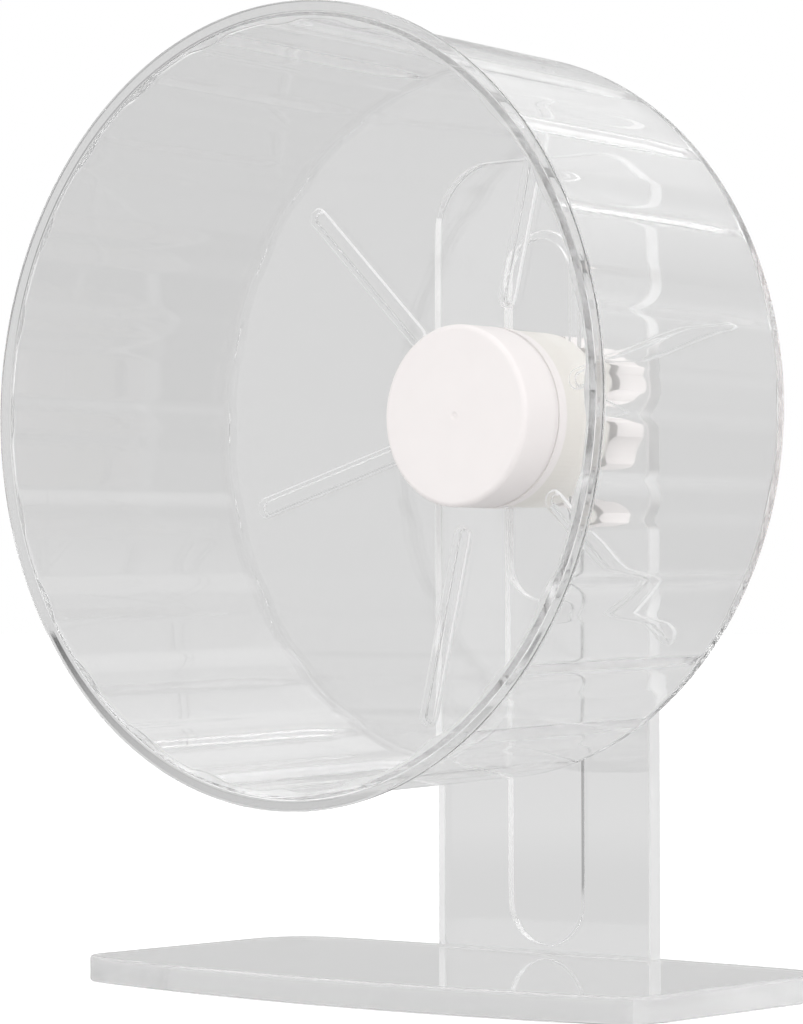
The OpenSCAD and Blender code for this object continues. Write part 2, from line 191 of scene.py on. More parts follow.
@dataclass(frozen=True)
class ClearAcrylic:
    """Clear acrylic, moulded or cast, then polished: almost no colour, so the eye reads its edges.

    Attributes:
        name: Name of the material.
        tint: What a thick piece lets through.
        flow_mm: Size of the slow waves that the mould or the casting leaves in the surface.
        flow_depth_mm: Depth of those waves.
        roughness: Haze of the polished face.
        frost: Share of the surface that is ground white, such as by a saw.
        ior: Refractive index of acrylic.
        shade: What each face lets through to the lamps.
        absorb_per_m: How fast the plastic darkens with the length of the way through it.
        haze_mm: Size of the patches that handling dulls.
        haze_span: Part of the noise's range over which a patch goes from clear to dull.
        haze_rough: Roughness that a dull patch adds.
    """

    name: str
    tint: str
    flow_mm: float
    flow_depth_mm: float
    roughness: float = 0.02
    frost: float = 0.0
    ior: float = 1.49
    shade: str = "#F6F6F6"
    absorb_per_m: float = 0.25
    haze_mm: float = 2.5
    haze_span: tuple[float, float] = (0.45, 0.75)
    haze_rough: float = 0.03

    def material(self) -> bpy.types.Material:
        """Makes the clear plastic: slow waves bend what is seen through, fine handling haze dulls patches.

        Returns:
            The material.
        """
        material, tree, place = new_material(self.name)
        waves = add_node(tree, "ShaderNodeTexNoise",
                         {"Vector": place, "Scale": per_metre(self.flow_mm), "Detail": 1.0})
        haze = add_node(tree, "ShaderNodeTexNoise",
                        {"Vector": place, "Scale": per_metre(self.haze_mm), "Detail": 4.0})
        dull = add_node(tree, "ShaderNodeMapRange",
                        {"Value": haze.outputs[0], "From Min": self.haze_span[0], "From Max": self.haze_span[1],
                         "To Min": self.roughness, "To Max": self.roughness + self.haze_rough})
        bump = add_node(tree, "ShaderNodeBump", {"Height": waves.outputs[0], "Strength": 1.0,
                                                 "Distance": self.flow_depth_mm * MM})
        shader = add_node(tree, "ShaderNodeBsdfPrincipled",
                          {"Base Color": linear(self.tint), "Roughness": dull.outputs[0], "IOR": self.ior,
                           "Transmission Weight": 1 - self.frost, "Normal": bump.outputs[0]})
        # Lamps and the room light what is behind clear walls, a little dimmed, where plain glass would shade it.
        straight = add_node(tree, "ShaderNodeBsdfTransparent", {"Color": linear(self.shade)})
        path = add_node(tree, "ShaderNodeLightPath").outputs
        lighting = add_node(tree, "ShaderNodeMath", {0: path["Is Shadow Ray"], 1: path["Is Diffuse Ray"]},
                            operation="MAXIMUM").outputs[0]
        close_material(tree, add_node(tree, "ShaderNodeMixShader", {0: lighting, 1: shader.outputs[0],
                                                                    2: straight.outputs[0]}))
        # Thin walls stay clear, and a rim or an edge seen along its length turns grey.
        depth = add_node(tree, "ShaderNodeVolumeAbsorption", {"Color": (0, 0, 0, 1), "Density": self.absorb_per_m})
        tree.links.new(depth.outputs[0], tree.nodes["Material Output"].inputs["Volume"])
        return material


@dataclass(frozen=True)
class MouldedPlastic:
    """Opaque ABS, injection moulded: one even colour with a faint cloud and a fine satin spark grain.

    Attributes:
        name: Name of the material.
        light: Colour where the moulding is brightest.
        dark: Colour of the faint cloud.
        grain_mm: Size of the spark-eroded grain.
        grain_depth_mm: Depth of that grain.
        roughness: Mean roughness of the satin face.
        gloss_spread: How far the grain moves the roughness to either side.
        cloud_mm: Size of the faint cloud.
        ior: Refractive index of ABS.
    """

    name: str
    light: str
    dark: str
    grain_mm: float = 0.6
    grain_depth_mm: float = 0.012
    roughness: float = 0.42
    gloss_spread: float = 0.08
    cloud_mm: float = 9.0
    ior: float = 1.54

    def material(self) -> bpy.types.Material:
        """Makes the moulded plastic with its cloud, grain and uneven gloss.

        Returns:
            The material.
        """
        material, tree, place = new_material(self.name)
        cloud = add_node(tree, "ShaderNodeTexNoise",
                         {"Vector": place, "Scale": per_metre(self.cloud_mm), "Detail": 3.0})
        colour = add_node(tree, "ShaderNodeMix", {0: cloud.outputs[0], 6: linear(self.light), 7: linear(self.dark)},
                          data_type="RGBA")
        grain = add_node(tree, "ShaderNodeTexNoise",
                         {"Vector": place, "Scale": per_metre(self.grain_mm), "Detail": 2.0})
        gloss = add_node(tree, "ShaderNodeMapRange",
                         {"Value": grain.outputs[0], "To Min": self.roughness - self.gloss_spread,
                          "To Max": self.roughness + self.gloss_spread})
        bump = add_node(tree, "ShaderNodeBump", {"Height": grain.outputs[0], "Strength": 1.0,
                                                 "Distance": self.grain_depth_mm * MM})
        shader = add_node(tree, "ShaderNodeBsdfPrincipled",
                          {"Base Color": colour.outputs[2], "Roughness": gloss.outputs[0], "IOR": self.ior,
                           "Normal": bump.outputs[0]})
        close_material(tree, shader)
        return material


@dataclass(frozen=True)
class TurnedMetal:
    """Metal that was turned, ground or plated: fine rings round the axis and a slightly uneven gloss.

    Attributes:
        name: Name of the material.
        light: Colour of the clean metal.
        dark: Colour in the tool marks.
        line_mm: Spacing of the tool marks.
        roughness: Mean roughness.
        gloss_span: How far the tool marks move the roughness down and up.
        along: Scale of the noise across the axis, against 1 along it, which draws it out into rings.
    """

    name: str
    light: str
    dark: str
    line_mm: float = 0.5
    roughness: float = 0.28
    gloss_span: tuple[float, float] = (-0.08, 0.1)
    along: float = 0.04

    def material(self) -> bpy.types.Material:
        """Makes the metal with tool marks as bands of noise along the axis.

        Returns:
            The material.
        """
        material, tree, place = new_material(self.name)
        bands = add_node(tree, "ShaderNodeMapping", {"Vector": place, "Scale": (self.along, 1.0, self.along)})
        marks = add_node(tree, "ShaderNodeTexNoise", {"Vector": bands.outputs[0], "Scale": per_metre(self.line_mm),
                                                      "Detail": 3.0})
        colour = add_node(tree, "ShaderNodeMix", {0: marks.outputs[0], 6: linear(self.dark), 7: linear(self.light)},
                          data_type="RGBA")
        gloss = add_node(tree, "ShaderNodeMapRange",
                         {"Value": marks.outputs[0], "To Min": self.roughness + self.gloss_span[0],
                          "To Max": self.roughness + self.gloss_span[1]})
        shader = add_node(tree, "ShaderNodeBsdfPrincipled",
                          {"Base Color": colour.outputs[2], "Roughness": gloss.outputs[0], "Metallic": 1.0})
        close_material(tree, shader)
        return material


# Surfaces


def loop_faces(rows: int, columns: int, close_rows: bool = True) -> np.ndarray:
    """Quads of a grid of points that is stored row by row, each row a closed loop.

    Args:
        rows: Number of rows.
        columns: Points in a row.
        close_rows: Joins the last row to the first.

    Returns:
        One row of four point numbers for each quad.
    """
    row = np.arange(rows if close_rows else rows - 1)[:, None]
    column = np.arange(columns)[None, :]
    next_row, next_column = (row + 1) % rows, (column + 1) % columns
    corners = (row * columns + column, row * columns + next_column,
               next_row * columns + next_column, next_row * columns + column)
    return np.stack([c + np.zeros_like(row + column) for c in corners], axis=-1).reshape(-1, 4)


def put_mesh(name: str, points: np.ndarray, faces: list, crease_deg: float = 32,
             finish: np.ndarray | None = None) -> bpy.types.Object:
    """Makes a closed mesh object at the origin, with smooth faces and sharp creases.

    Args:
        name: Name of the piece.
        points: Places in millimetres, one row each.
        faces: Lists of point numbers.
        crease_deg: Edges that turn more than this stay sharp.
        finish: For each face, which of the piece's materials it takes.

    Returns:
        The linked object.
    """
    mesh = bpy.data.meshes.new(name)
    mesh.from_pydata((points * MM).tolist(), [], faces)
    if finish is not None:
        mesh.polygons.foreach_set("material_index", finish.astype(np.int32))
    work = bmesh.new()
    work.from_mesh(mesh)
    bmesh.ops.remove_doubles(work, verts=work.verts, dist=WELD_M)
    bmesh.ops.recalc_face_normals(work, faces=work.faces)
    work.to_mesh(mesh)
    work.free()
    mesh.shade_smooth()
    mesh.set_sharp_from_angle(angle=math.radians(crease_deg))
    piece = bpy.data.objects.new(name, mesh)
    bpy.context.scene.collection.objects.link(piece)
    return piece


def smooth_step(value: np.ndarray, low: float, high: float) -> np.ndarray:
    """Rises from 0 at low to 1 at high as 3t^2 - 2t^3."""
    t = np.clip((value - low) / (high - low), 0, 1)
    return t * t * (3 - 2 * t)


def arc(centre: tuple[float, float], radius: float, start: float, end: float, steps: int) -> np.ndarray:
    """Points of a circular arc, centre + radius (cos a, sin a).

    Args:
        centre: Centre of the arc.
        radius: Its radius.
        start: First angle in degrees.
        end: Last angle in degrees.
        steps: Number of steps between them.

    Returns:
        One row of two places for each point.
    """
    a = np.radians(np.linspace(start, end, steps + 1))
    return np.stack([centre[0] + radius * np.cos(a), centre[1] + radius * np.sin(a)], axis=-1)


def round_corners(points: np.ndarray, radii: np.ndarray, steps: int) -> np.ndarray:
    """Rounds the corners of an open path, with a support point a little before and after each arc.

    Each corner turns into an arc that touches both its sides: the tangent points lie r tan(t/2) away,
    where t is the angle that the path turns by, and the arc's points are worked out for all corners at once.

    Args:
        points: Start, corners and end, one row each.
        radii: Radius at each corner between the start and the end.
        steps: Steps of each arc.

    Returns:
        The rounded path.
    """
    before, corners, after = points[:-2], points[1:-1], points[2:]
    radius = radii[:, None]
    back = (before - corners) / np.linalg.norm(before - corners, axis=1, keepdims=True)
    ahead = (after - corners) / np.linalg.norm(after - corners, axis=1, keepdims=True)
    inner = np.arccos(np.clip((back * ahead).sum(1, keepdims=True), -1, 1))
    reach = radius / np.tan(inner / 2)
    middle = (back + ahead) / np.linalg.norm(back + ahead, axis=1, keepdims=True)
    centre = corners + middle * radius / np.sin(inner / 2)
    start, end = corners + back * reach - centre, corners + ahead * reach - centre
    sweep = math.pi - inner
    share = np.linspace(0, 1, steps + 1)[None, :, None]
    bend = np.sin((1 - share) * sweep[:, None]) * start[:, None] + np.sin(share * sweep[:, None]) * end[:, None]
    curve = centre[:, None] + bend / np.sin(sweep)[:, None]
    support = np.minimum(SUPPORT_MM, reach / 4)
    path = np.concatenate([(corners + back * (reach + support))[:, None], curve,
                           (corners + ahead * (reach + support))[:, None]], axis=1).reshape(-1, 2)
    return np.concatenate([points[:1], path, points[-1:]])


def lathe(name: str, profile: np.ndarray, axis_z: float, turns: int) -> bpy.types.Object:
    """Turns a profile about the wheel's axis: x = r cos a, z = axis + r sin a, y kept.

    Args:
        name: Name of the piece.
        profile: Radius and y of each point, from the axis and back to it.
        axis_z: Height of the axis.
        turns: Steps round the axis.

    Returns:
        The turned piece.
    """
    a = np.arange(turns) * TAU / turns
    r, y = profile[:, 0, None], profile[:, 1, None]
    points = np.stack([r * np.cos(a), y + 0 * a, axis_z + r * np.sin(a)], axis=-1)
    faces = loop_faces(len(profile), turns, False)
    return put_mesh(name, points.reshape(-1, 3), faces.tolist())


def dress(piece: bpy.types.Object, material: bpy.types.Material, body: Body, slot: Slot,
          *nodes: str) -> bpy.types.Object:
    """Gives a new piece its material and its body, and hides the CAD nodes that it stands for.

    Args:
        piece: The new piece.
        material: Its main finish; finishes of its edges follow it.
        body: Body that it rides on.
        slot: Material slot of the record; not used.
        *nodes: CAD nodes that it replaces.

    Returns:
        The same piece.
    """
    piece.data.materials.append(material)
    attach(piece, body.value)
    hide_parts(*nodes)
    LOG.info("%s: %d faces, rides on %s", piece.name, len(piece.data.polygons), body.value)
    return piece


# The object's pieces


def axis_height() -> float:
    """Height of the wheel's axis above the floor in millimetres, from the CAD drum."""
    low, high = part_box("drum")
    return (low.z + high.z) / 2 / MM


@dataclass
class Drum:
    """Clear running drum: lipped mouth, tapered wall with grip ridges, back disc with embossed ribs.

    The whole skin is one closed grid. Rows follow the wall's cross-section from the hub hole out along the
    disc's front, forward along the running wall, round the lip, back along the outside and in along the
    disc's back. Columns go round the axis, closer together over each ridge and over the edges of each rib.

    The margins say how far past a ridge or a rib the close columns and rows go. The highlight share is how much of
    a rib's slope is frosted white as a painted highlight. The mouth highlight is a strip along the mouth's inner
    edge, frosted pale as another painted highlight.
    """

    wall_front_r: float = 101.8
    wall_draft: float = 2.6
    wall_t: float = 1.8
    disc_t: float = 2.6
    corner_r: float = 1.5
    corner_steps: int = 8
    lip_t: float = 1.6
    lip_round: float = 0.6
    lip_inside: float = 0.3
    lip_root: float = 0.8
    lip_steps: int = 6
    lip_start: float = 2.0
    lip_neck: float = 1.4
    ridge_count: int = 24
    ridge_crown: float = 5.5
    ridge_foot: float = 2.2
    ridge_h: float = 0.95
    ridge_steps: int = 18
    ridge_margin: float = 0.4
    rib_count: int = 6
    rib_w: float = 6.4
    rib_h: float = 0.5
    rib_wall: float = 0.9
    rib_in_r: float = 30.5
    rib_out_r: float = 87.98
    rib_deg: float = 16.0
    rib_edge: float = 0.9
    rib_flat: float = 1.6
    rib_over: float = 0.15
    rib_side_margin: float = 1.4
    rib_end_margin: float = 0.8
    rib_blend_margin: float = 1.2
    hole_r: float = 24.4
    row_gap: float = 0.4
    heel_gap: float = 0.3
    highlight_share: float = 0.7
    mouth_highlight_w: float = 0.9
    crease_deg: float = 60.0
    mouth_y: float = field(init=False)
    depth: float = field(init=False)
    rim_r: float = field(init=False)

    def __post_init__(self) -> None:
        """Reads the drum's place and reach from the CAD node."""
        low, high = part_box("drum")
        self.mouth_y, self.depth = low.y / MM, (high.y - low.y) / MM
        self.rim_r = (high.z - low.z) / 2 / MM

    def wall_r(self, y: np.ndarray | float, inset: float) -> np.ndarray | float:
        """Radius of the tapered wall at depth y, a little inside its outer face."""
        return self.wall_front_r - inset - self.wall_draft * y / self.depth

    def wall_angles(self) -> np.ndarray:
        """Column angles on the running wall, crowded over the ridges, with two left for the plain wall.

        Returns:
            Angles in radians, from the middle of the first ridge.
        """
        end = self.ridge_steps // 2
        k = np.arange(self.ridge_steps) - end
        half_pitch = math.pi / self.ridge_count
        zone = (self.ridge_crown + self.ridge_foot + self.ridge_margin) / self.wall_r(self.depth / 2, self.wall_t)
        offset = np.interp(k, [-end, 2 - end, end - 2, end], [-half_pitch, -zone, zone, half_pitch])
        ridge = np.arange(self.ridge_count)[:, None] * 2 * half_pitch
        return np.roll((ridge + offset).ravel(), -self.ridge_steps // 2)

    def rib_places(self, r: np.ndarray) -> tuple[np.ndarray, np.ndarray]:
        """Column angles on the disc, crowded over the ribs.

        Args:
            r: Radii of the rows, as a column.

        Returns:
            Angles in radians and each point's turn away from its rib's middle line.
        """
        columns = self.ridge_count * self.ridge_steps
        sector = columns // self.rib_count
        centre = round(self.rib_deg / 360 * columns)
        local = (np.arange(columns) - centre + sector // 2) % sector - sector // 2
        rib = np.round((np.arange(columns) - centre - local) / sector)
        half = sector // 4
        side = self.rib_w / 2
        width = side + self.rib_side_margin
        zone = np.arcsin(width / r)
        across = np.interp(np.abs(local), [0, 3, half - 2, half],
                           [0, side - self.rib_flat, side + self.rib_over, width])
        inside = np.arcsin(np.sign(local) * across / r)
        outside = np.sign(local) * (zone + (math.pi / self.rib_count - zone) * (np.abs(local) - half) / half)
        turn = np.where(np.abs(local) <= half, inside, outside)
        return math.radians(self.rib_deg) + rib * TAU / self.rib_count + turn, turn

    def emboss(self, r: np.ndarray, turn: np.ndarray, shrink: float) -> np.ndarray:
        """Height of a rib: full inside a stadium along the rib, and smoothly down to 0 across its edge.

        Args:
            r: Radius of each point.
            turn: Its angle away from the rib's middle line.
            shrink: How much narrower the stadium is, on each side.

        Returns:
            Height towards the mouth.
        """
        along, across = r * np.cos(turn), r * np.sin(turn)
        low, high = self.rib_in_r + self.rib_w / 2, self.rib_out_r - self.rib_w / 2
        gap = np.hypot(along - np.clip(along, low, high), across) - (self.rib_w / 2 - shrink)
        return self.rib_h * smooth_step(-gap, 0, self.rib_edge)

    def disc_rows(self, outer_r: float) -> np.ndarray:
        """Radii of the disc's rows, close together at the ribs' ends.

        Args:
            outer_r: Radius of the last row.

        Returns:
            Radii from the hub hole outwards.
        """
        # Rows over a rib's end are close on its slope and wider up to the straight part.
        end = np.concatenate([np.linspace(-0.2, 1.7, 14), np.linspace(2.1, self.rib_w * 0.75, 6)])
        parts = [np.linspace(self.hole_r, self.rib_in_r - self.rib_end_margin, 4), self.rib_in_r + end,
                 np.linspace(self.rib_in_r + end[-1], self.rib_out_r - end[-1], 14)[1:-1],
                 self.rib_out_r - end[::-1], np.linspace(self.rib_out_r + self.rib_end_margin, outer_r, 5)]
        return np.concatenate(parts)

    def disc_skin(self, outer_r: float, face_y: float, shrink: float) -> np.ndarray:
        """One face of the disc as a grid of points with the ribs pushed towards the mouth.

        Args:
            outer_r: Radius where the face meets its corner.
            face_y: Depth of the flat face.
            shrink: How much narrower the emboss is on this face, on each side.

        Returns:
            Rows from the hub hole outwards, as radius, angle and depth.
        """
        r = self.disc_rows(outer_r)[:, None]
        ribbed, turn = self.rib_places(r)
        wall = self.wall_angles()[None, :]
        ribbed = wall + (ribbed - wall + math.pi) % TAU - math.pi
        share = smooth_step(r, self.rib_out_r + self.rib_blend_margin, outer_r)
        angle = ribbed + (wall - ribbed) * share
        return np.stack([r + 0 * angle, angle, face_y - self.emboss(r, turn, shrink) * (1 - share)], axis=-1)

    def wall_skin(self, profile: np.ndarray, ridged: np.ndarray) -> np.ndarray:
        """Turns a stretch of the cross-section, with the ridges raised from the running wall.

        Across a ridge, the crown is a parabola that falls with slope s at its edges, and a hollow parabola of
        the foot's width eases it into the wall: s = 2 height / (crown + foot).

        Args:
            profile: Radius and depth of each row.
            ridged: Share of the ridge height on each row.

        Returns:
            A grid of radius, angle and depth.
        """
        angle = self.wall_angles()[None, :]
        pitch = TAU / self.ridge_count
        aside = ((angle + pitch / 2) % pitch - pitch / 2) * profile[:, :1]
        slope = 2 * self.ridge_h / (self.ridge_crown + self.ridge_foot)
        crown = self.ridge_h - slope * aside ** 2 / (2 * self.ridge_crown)
        to_wall = np.maximum(self.ridge_crown + self.ridge_foot - np.abs(aside), 0)
        foot = slope * to_wall ** 2 / (2 * self.ridge_foot)
        r = profile[:, :1] - np.where(np.abs(aside) < self.ridge_crown, crown, foot) * ridged[:, None]
        return np.stack([r, angle + 0 * r, profile[:, 1:] + 0 * r], axis=-1)

    def build(self) -> bpy.types.Object:
        """Joins the skins of disc, wall and lip into one closed grid.

        Returns:
            The drum, with a finish for each face.
        """
        front_y, back_y = self.depth - self.disc_t, self.depth
        inner_r = self.wall_r(front_y, self.wall_t)
        outer_corner = self.corner_r + self.wall_t / 2
        corner = arc((inner_r - self.corner_r, front_y - self.corner_r), self.corner_r, 90, 0,
                     self.corner_steps)[1:]
        # Rows of the running wall come closer together towards the mouth.
        depth = np.concatenate([np.linspace(corner[-1, 1] - 1, 12, 8), np.linspace(10, 3, 6)])
        track = np.stack([self.wall_r(depth, self.wall_t), depth], axis=-1)
        neck_y = self.lip_t + self.lip_neck
        mouth_r = self.wall_r(0, self.wall_t)
        lip = round_corners(np.array([[self.wall_r(self.lip_start, self.wall_t), self.lip_start], [mouth_r, 0],
                                      [self.rim_r, 0], [self.rim_r, self.lip_t],
                                      [self.wall_r(self.lip_t, 0), self.lip_t], [self.wall_r(neck_y, 0), neck_y]]),
                            np.array([self.lip_inside, self.lip_round, self.lip_round, self.lip_root]),
                            self.lip_steps)
        # One more row, past the start, the first arc and its two supports, ends the strip that is frosted pale as a
        # painted highlight.
        lip_edge = self.lip_steps + 4
        lip = np.insert(lip, lip_edge, [mouth_r + self.mouth_highlight_w, 0], axis=0)
        depth = np.linspace(neck_y + self.row_gap, back_y - outer_corner - self.row_gap, 6)
        outside = np.stack([self.wall_r(depth, 0), depth], axis=-1)
        rear_r = self.wall_r(back_y, 0)
        heel = arc((rear_r - outer_corner, back_y - outer_corner), outer_corner, 0, 90, self.corner_steps)
        # The ridges sink into the disc's corner and end at the painted-highlight strip.
        ridged = np.concatenate([np.linspace(0.5, 1, len(corner)) ** 0.5, np.ones(len(track) + lip_edge),
                                 np.zeros(len(lip) - lip_edge + len(outside) + len(heel))])
        wall = self.wall_skin(np.concatenate([corner, track, lip, outside, heel]), ridged)
        front = self.disc_skin(inner_r - self.corner_r, front_y, 0)
        back = self.disc_skin(rear_r - outer_corner - self.heel_gap, back_y, self.rib_wall)[::-1]
        skin = np.concatenate([front, wall, back])
        r, angle, y = skin[..., 0], skin[..., 1], skin[..., 2]
        points = np.stack([r * np.cos(angle), self.mouth_y + y, axis_height() + r * np.sin(angle)], axis=-1)
        faces = loop_faces(len(skin), skin.shape[1])
        raised = np.concatenate([front_y - front[..., 2], 0 * wall[..., 0], back_y - back[..., 2]]) / self.rib_h
        raised = raised.ravel()[faces].mean(axis=1)
        row = np.arange(len(faces)) // skin.shape[1] - len(front) - len(corner) - len(track)
        # Rib slopes and the mouth's inner strip get painted highlights, and the rim's front gets painted shade.
        finish = np.select([np.abs(raised - 0.5) < self.highlight_share / 2, (row > 0) & (row < lip_edge),
                            (row >= lip_edge) & (row < lip_edge + self.lip_steps + 3)],
                           [DrumFace.RIB_PAINTED_HIGHLIGHT, DrumFace.MOUTH_PAINTED_HIGHLIGHT, DrumFace.RIM_PAINTED_SHADE], DrumFace.MOULDED)
        return put_mesh("wheel_drum", points.reshape(-1, 3), faces.tolist(), self.crease_deg, finish)

    def dress(self, clear: bpy.types.Material, *edges: bpy.types.Material) -> None:
        """Builds the drum and dresses it.

        Args:
            clear: Finish of most of the skin.
            *edges: Finishes of the ribs' edges and the mouth's inner edge, both painted highlights, and of its
                    front, painted shade.
        """
        piece = dress(self.build(), clear, Body.WHEEL, Slot.CLEAR_DRUM, "drum")
        for finish in edges:
            piece.data.materials.append(finish)


@dataclass
class HubCap:
    """White cap over the axle's end, with a rounded edge, and a dimple with the gate's stub at its middle."""

    wall: float = 2.4
    front_t: float = 1.8
    edge_r: float = 1.5
    back_round: float = 0.35
    inside_round: float = 0.8
    edge_steps: int = 8
    dimple_r: float = 1.3
    dimple_depth: float = 0.7
    dimple_reach: float = 1.6
    gate_h: float = 0.3
    gate_r: float = 0.45
    turns: int = 160

    def build(self) -> bpy.types.Object:
        """Turns the cap's profile, from the dimple over the rim to the inside of the front wall.

        The dimple is a squared cosine of the radius, and the stub in it a bell curve.

        Returns:
            The cap.
        """
        low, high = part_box("hub_cap")
        front, back, radius = low.y / MM, high.y / MM, (high.x - low.x) / 2 / MM
        r = np.linspace(0, self.dimple_r * self.dimple_reach, 14)
        bowl = front + self.dimple_depth * np.cos(np.clip(r / self.dimple_r, 0, 1) * math.pi / 2) ** 2
        gate = self.gate_h * np.exp(-(r / self.gate_r) ** 2)
        dimple = np.stack([r, bowl - gate], axis=-1)
        rim = np.array([[r[-1], front], [radius, front], [radius, back], [radius - self.wall, back],
                        [radius - self.wall, front + self.front_t], [0, front + self.front_t]])
        radii = np.array([self.edge_r, self.back_round, self.back_round, self.inside_round])
        rim = round_corners(rim, radii, self.edge_steps)
        return lathe("hub_cap_moulding", np.concatenate([dimple, rim[1:]]), axis_height(), self.turns)

    def dress(self, white: bpy.types.Material) -> None:
        """Builds the cap and dresses it in white plastic."""
        dress(self.build(), white, Body.WHEEL, Slot.WHITE_PLASTIC, "hub_cap")


@dataclass
class Upright:
    """Clear upright: a plate with rounded top corners, the height slot, and the guide groove in its back.

    Its skin is one closed grid. Columns are rays from the axis, and each row is an outline that the rays meet:
    the plate's edge, the slot's edge, or the groove's edge, each pulled in or out by a small bevel.
    """

    corner_r: float = 20.0
    slot_w: float = 21.5
    slot_up: float = 51.0
    slot_down: float = 50.0
    groove_w: float = 26.0
    groove_t: float = 2.6
    groove_foot: float = 2.0
    edge_round: float = 0.5
    slot_round: float = 0.4
    round_steps: int = 6
    row_gap: float = 0.3
    left_edge_gap: float = 0.1
    foot_gap: float = 0.03
    half_w: float = field(init=False)
    front: float = field(init=False)
    back: float = field(init=False)
    top: float = field(init=False)
    foot: float = field(init=False)

    def __post_init__(self) -> None:
        """Reads the plate's place from the CAD node and the base."""
        low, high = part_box("upright")
        self.half_w, self.front, self.back = high.x / MM, low.y / MM, high.y / MM
        self.top = high.z / MM - axis_height()
        self.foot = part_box("base")[1].z / MM + self.foot_gap - axis_height()

    def rays(self) -> np.ndarray:
        """Angles of the columns, in degrees from straight down and straight up, crowded where an outline curves.

        Returns:
            Angles in radians all the way round, with one through each corner of the foot.
        """
        down = np.concatenate([np.linspace(0, 5.4, 22), np.linspace(5.8, 17, 22), np.linspace(18, 60, 14)])
        up = np.concatenate([np.linspace(0, 17, 34), np.linspace(18, 32, 26), np.linspace(33, 90, 12)])
        down, up = np.radians(down), np.radians(up)
        corner = math.atan2(self.half_w, -self.foot)
        down = np.sort(np.append(down, corner))
        right = np.concatenate([down - math.pi / 2, math.pi / 2 - up[::-1]])
        left = math.pi - right[1:-1][::-1]
        return np.concatenate([right, left])

    def plate_edge(self, inset: float) -> np.ndarray:
        """Where each ray meets the plate's outline: the nearer of side and end, or the top corner's circle.

        Args:
            inset: How far the outline is pulled in.

        Returns:
            Places across and up from the axis, one row for each ray.
        """
        a = self.rays()
        x, z = np.cos(a), np.sin(a)
        half, top, foot = self.half_w - inset, self.top - inset, self.foot + inset
        radius = self.corner_r - inset
        level = np.where(z < 0, foot / np.minimum(z, -TINY), top / np.maximum(z, TINY))
        reach = np.minimum(half / np.maximum(np.abs(x), TINY), level)
        centre = np.stack([np.sign(x) * (half - radius), np.full_like(x, top - radius)], axis=-1)
        along = x * centre[:, 0] + z * centre[:, 1]
        rounded = along + np.sqrt(np.maximum(along ** 2 - (centre ** 2).sum(1) + radius ** 2, 0))
        cornered = (reach * np.abs(x) > half - radius) & (reach * z > top - radius)
        reach = np.where(cornered, rounded, reach)
        return np.stack([reach * x, reach * z], axis=-1)

    def slot_edge(self, outset: float, low: float) -> np.ndarray:
        """Where each ray meets a stadium: its straight side, or the circle of its upper or lower end.

        Args:
            outset: How far the stadium is wider than the slot, on each side.
            low: Lower end of the stadium before it is widened.

        Returns:
            Places across and up from the axis, one row for each ray.
        """
        a = self.rays()
        x, z = np.cos(a), np.sin(a)
        radius = self.slot_w / 2
        bottom, top = low + radius, self.slot_up - radius
        radius += outset
        reach = radius / np.maximum(np.abs(x), TINY)
        end = np.where(z > 0, top, bottom)
        along = z * end
        rounded = along + np.sqrt(np.maximum(along ** 2 - end ** 2 + radius ** 2, 0))
        reach = np.where((reach * z > top) | (reach * z < bottom), rounded, reach)
        return np.stack([reach * x, reach * z], axis=-1)

    def build(self) -> bpy.types.Object:
        """Joins the rows: front face, outer edge, back face, groove, slot wall.

        Returns:
            The plate, with a finish for each face.
        """
        axis = axis_height()
        slot_low, groove_low = -self.slot_down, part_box("base")[1].z / MM + self.groove_foot - axis
        turn = np.radians(np.linspace(0, 90, self.round_steps))
        edge = list(zip(self.edge_round * (1 - np.sin(turn)), self.edge_round * (1 - np.cos(turn))))
        slot = list(zip(self.slot_round * (1 - np.sin(turn)), self.slot_round * (1 - np.cos(turn))))
        beside_edge, beside_slot = self.edge_round + self.row_gap, self.slot_round + self.row_gap
        rows = [(self.plate_edge(beside_edge), self.front)]
        rows += [(self.plate_edge(i), self.front + y) for i, y in edge]
        rows += [(self.plate_edge(i), self.back - y) for i, y in edge[::-1]]
        wider = (self.groove_w - self.slot_w) / 2
        groove_low += wider
        rows += [(self.plate_edge(beside_edge), self.back),
                 (self.slot_edge(wider + beside_slot, groove_low), self.back)]
        rows += [(self.slot_edge(wider + i, groove_low), self.back - y) for i, y in slot]
        floor = self.back - self.groove_t
        rows += [(self.slot_edge(wider, groove_low), floor), (self.slot_edge(0, slot_low), floor)]
        rows += [(self.slot_edge(i, slot_low), self.front + y) for i, y in slot[::-1]]
        rows += [(self.slot_edge(beside_slot, slot_low), self.front)]
        outline = np.stack([places for places, _ in rows])
        depth = np.array([y for _, y in rows])[:, None] + np.zeros(outline.shape[1])
        points = np.stack([outline[..., 0], depth, axis + outline[..., 1]], axis=-1)
        faces = loop_faces(len(rows), outline.shape[1])
        row = np.arange(len(faces)) // outline.shape[1]
        # The left edge's faces get painted light, and the plate's other edges get painted shade.
        left_edge_painted_light = outline[..., 0].ravel()[faces].mean(axis=1) < self.left_edge_gap + self.edge_round - self.half_w
        finish = np.where((row > 0) & (row < 2 * len(edge)), np.where(left_edge_painted_light, PlateFace.LEFT_EDGE_PAINTED_LIGHT, PlateFace.EDGES_PAINTED_SHADE),
                          PlateFace.CAST)
        return put_mesh("upright_plate", points.reshape(-1, 3), faces.tolist(), finish=finish)

    def dress(self, clear: bpy.types.Material, *edges: bpy.types.Material) -> None:
        """Builds the plate and dresses it.

        Args:
            clear: Finish of the faces, the groove and the slot.
            *edges: Finishes of the left edge, frosted white as painted light, and of the other edges, frosted less
                    as painted shade.
        """
        piece = dress(self.build(), clear, Body.STAND, Slot.CLEAR_PLATE, "upright")
        for finish in edges:
            piece.data.materials.append(finish)


